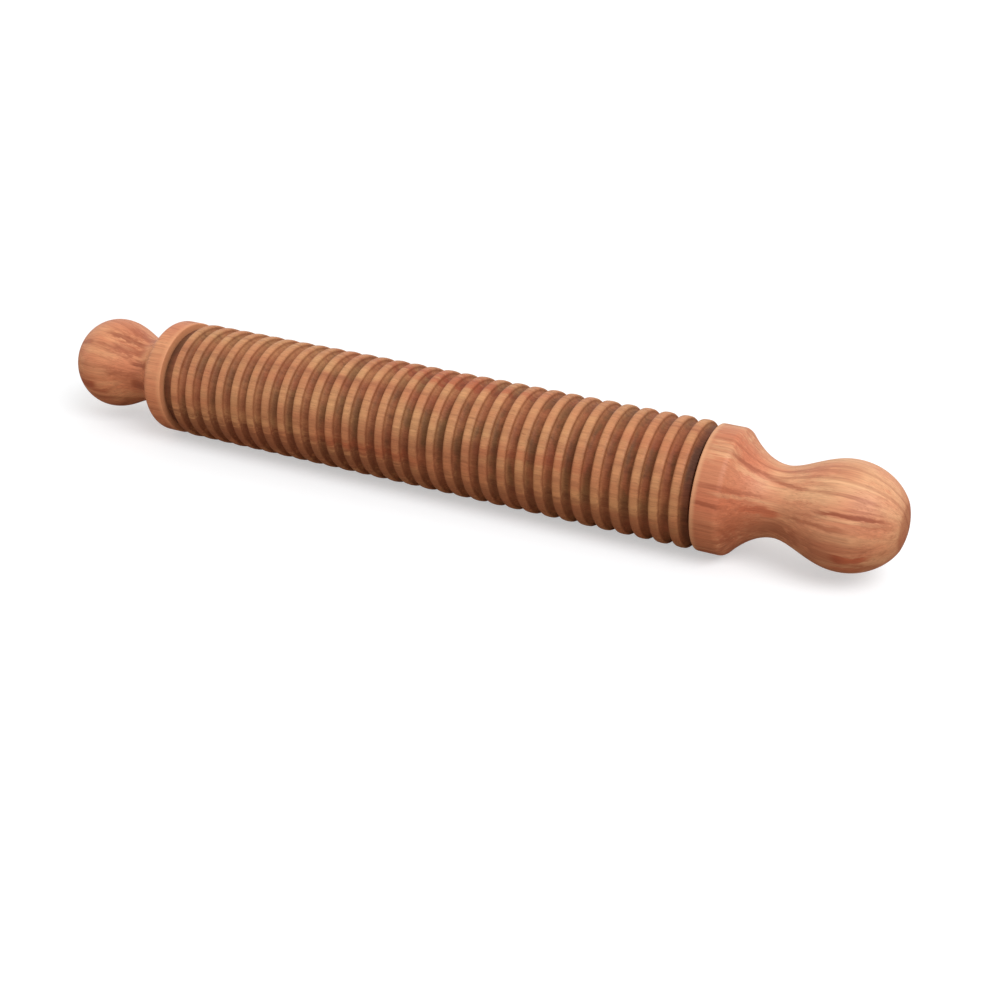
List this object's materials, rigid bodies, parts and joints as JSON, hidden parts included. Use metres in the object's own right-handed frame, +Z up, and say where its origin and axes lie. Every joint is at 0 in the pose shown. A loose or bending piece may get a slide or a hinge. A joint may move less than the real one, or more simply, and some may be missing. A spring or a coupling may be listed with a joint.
{
  "type": "rolling pin",
  "caption": "Wooden pasta-cutting rolling pin: a grooved hardwood barrel that revolves on a steel axle rod between two turned knob handles.",
  "frame": {"origin": "on the barrel's turning axis, at the middle of the overall length", "axes": "+X along the turning axis towards the right handle, the longer one; +Z up"},
  "size_m": [0.3106, 0.041, 0.041],
  "materials": {
    "barrel_wood": "turned hardwood with a thin oil finish, reddish brown, darker in the grooves",
    "handle_wood": "turned and sanded hardwood with a satin oil finish, pinkish brown with dark streaks",
    "rod_steel": "drawn steel rod",
    "plated_steel": "bright zinc plate",
    "insert_brass": "machined brass",
    "bushing_nylon": "moulded natural nylon"
  },
  "bodies": {
    "handles_and_axle": {"handle_left": "handle_wood", "handle_right": "handle_wood", "axle_rod": "rod_steel", "lock_nut_left": "plated_steel", "lock_nut_right": "plated_steel", "threaded_insert_left": "insert_brass", "threaded_insert_right": "insert_brass", "thrust_washer_left": "plated_steel", "thrust_washer_right": "plated_steel"},
    "barrel": {"grooved_barrel": "barrel_wood", "bushing_left": "bushing_nylon", "bushing_right": "bushing_nylon"}
  },
  "joints": [
    {"name": "barrel_spin", "type": "hinge", "parent": "handles_and_axle", "child": "barrel", "pos_m": [-0.0058, 0, 0], "axis": [1, 0, 0], "continuous": true}
  ]
}
